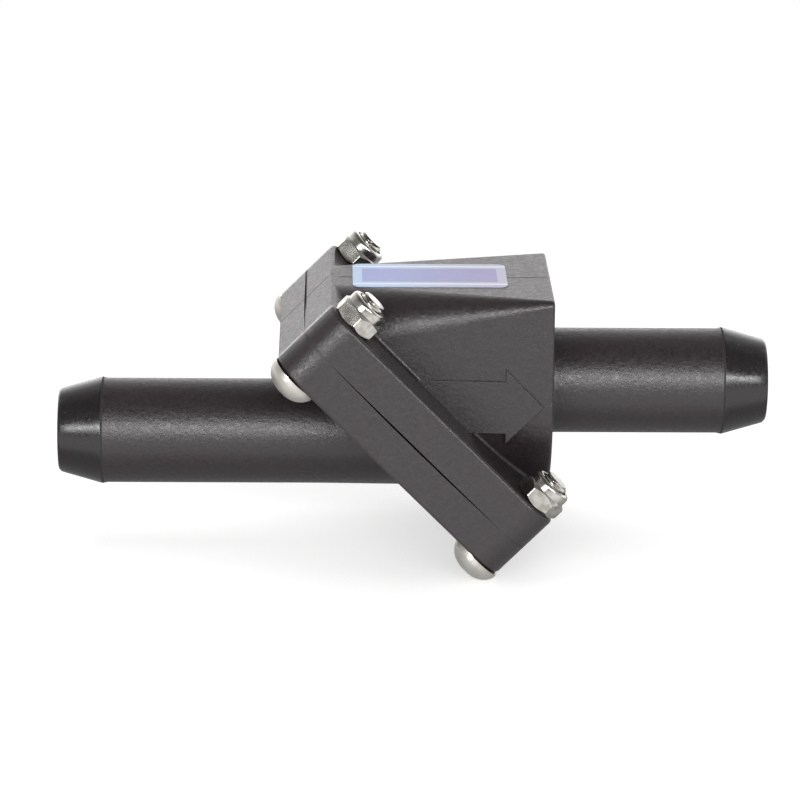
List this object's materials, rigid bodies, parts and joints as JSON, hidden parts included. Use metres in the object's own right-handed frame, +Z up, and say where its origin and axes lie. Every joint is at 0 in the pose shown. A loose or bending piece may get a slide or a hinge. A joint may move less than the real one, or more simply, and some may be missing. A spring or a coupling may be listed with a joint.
{
  "type": "inline non-return valve",
  "caption": "Inline flap-type non-return valve for hose: two moulded halves bolted on a slanted square flange, offset hose tails, weighted rubber flap inside.",
  "frame": {"origin": "centre of the inlet tail's tip, on the inlet axis", "axes": "+X along the flow, from the inlet tail to the outlet tail; +Z up, towards the outlet chamber's flat top"},
  "size_m": [0.1294, 0.056, 0.0532],
  "materials": {
    "body_plastic": "black moulded plastic, fine satin grain",
    "fastener_steel": "bright stainless fasteners",
    "insert_nylon": "natural nylon locking ring",
    "rubber": "black moulded rubber",
    "weight_steel": "plain turned steel",
    "label_film": "thin printed film with plain bands and no lettering"
  },
  "bodies": {
    "housing": {"inlet_body": "body_plastic", "outlet_body": "body_plastic", "flap_rim": "rubber", "flap_hinge": "rubber", "flow_label": "label_film", "screw_upper_near": "fastener_steel", "screw_upper_far": "fastener_steel", "screw_lower_near": "fastener_steel", "screw_lower_far": "fastener_steel", "nut_upper_near": "fastener_steel", "nut_upper_far": "fastener_steel", "nut_lower_near": "fastener_steel", "nut_lower_far": "fastener_steel", "insert_upper_near": "insert_nylon", "insert_upper_far": "insert_nylon", "insert_lower_near": "insert_nylon", "insert_lower_far": "insert_nylon"},
    "flap": {"flap_disc": "rubber", "flap_weight": "weight_steel", "flap_backing": "weight_steel", "flap_rivet": "weight_steel"}
  },
  "joints": [
    {"name": "flap_swing", "type": "hinge", "parent": "housing", "child": "flap", "pos_m": [0.06073, 0, 0.01133], "axis": [0, -1, 0], "range_deg": [0, 78], "deforming": ["flap_hinge"]}
  ]
}
